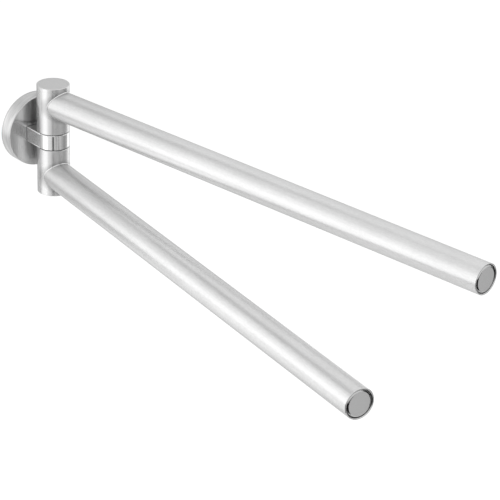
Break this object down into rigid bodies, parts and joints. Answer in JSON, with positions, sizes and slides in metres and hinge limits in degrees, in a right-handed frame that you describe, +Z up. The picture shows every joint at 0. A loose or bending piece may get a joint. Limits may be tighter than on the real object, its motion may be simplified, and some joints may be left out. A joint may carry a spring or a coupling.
{
  "type": "swivelling towel rail",
  "caption": "Wall-mounted towel rail in brushed steel: a round rosette, a bracket and an upright post, on which long tube arms swing side by side.",
  "frame": {"origin": "centre of the wall plate's back face, on the wall and level with the middle of the collar", "axes": "+Y into the wall, so the arms reach out along -Y; +Z up along the post; +X to the right seen from the front"},
  "size_m": [0.1264, 0.432, 0.0856],
  "materials": {
    "satin_rosette": "satin stainless steel, face brushed upright, rim brushed round",
    "satin_bracket": "satin stainless steel, brushed along its length",
    "satin_hub": "satin stainless steel, brushed round",
    "satin_cap": "satin stainless steel, fine and flat",
    "satin_tube": "satin stainless steel tube, fine brushing",
    "polished_end": "satin face with a polished rounded edge",
    "plate_steel": "plain zinc-plated steel",
    "screw_steel": "plain steel screws",
    "turned_steel": "turned stainless steel",
    "spring_steel": "oiled spring steel",
    "dark_nylon": "dark nylon",
    "pale_nylon": "natural nylon",
    "black_rubber": "black rubber"
  },
  "bodies": {
    "wall_mount": {"wall_plate": "plate_steel", "rosette": "satin_rosette", "rosette_grub_screw": "screw_steel", "bracket": "satin_bracket", "bracket_screws": "screw_steel", "pivot_pin": "turned_steel", "pin_lock_screw": "screw_steel", "upper_friction_washer": "dark_nylon", "upper_thrust_washer": "turned_steel", "upper_disc_spring": "spring_steel", "upper_lock_nut": "turned_steel", "lower_friction_washer": "dark_nylon", "lower_thrust_washer": "turned_steel", "lower_disc_spring": "spring_steel", "lower_lock_nut": "turned_steel"},
    "upper_arm": {"upper_bush": "pale_nylon", "upper_hub": "satin_hub", "upper_hub_cap": "satin_cap", "upper_arm_spigot": "turned_steel", "upper_arm_tube": "satin_tube", "upper_end_cap": "polished_end", "upper_end_cap_ring": "black_rubber"},
    "lower_arm": {"lower_bush": "pale_nylon", "lower_hub": "satin_hub", "lower_hub_cap": "satin_cap", "lower_arm_spigot": "turned_steel", "lower_arm_tube": "satin_tube", "lower_end_cap": "polished_end", "lower_end_cap_ring": "black_rubber"}
  },
  "joints": [
    {"name": "upper_arm_swing", "type": "hinge", "parent": "wall_mount", "child": "upper_arm", "pos_m": [0, -0.028, 0.02], "axis": [0, 0, 1], "range_deg": [-97.4, 82.6]},
    {"name": "lower_arm_swing", "type": "hinge", "parent": "wall_mount", "child": "lower_arm", "pos_m": [0, -0.028, -0.02], "axis": [0, 0, 1], "range_deg": [-82.6, 97.4]}
  ]
}
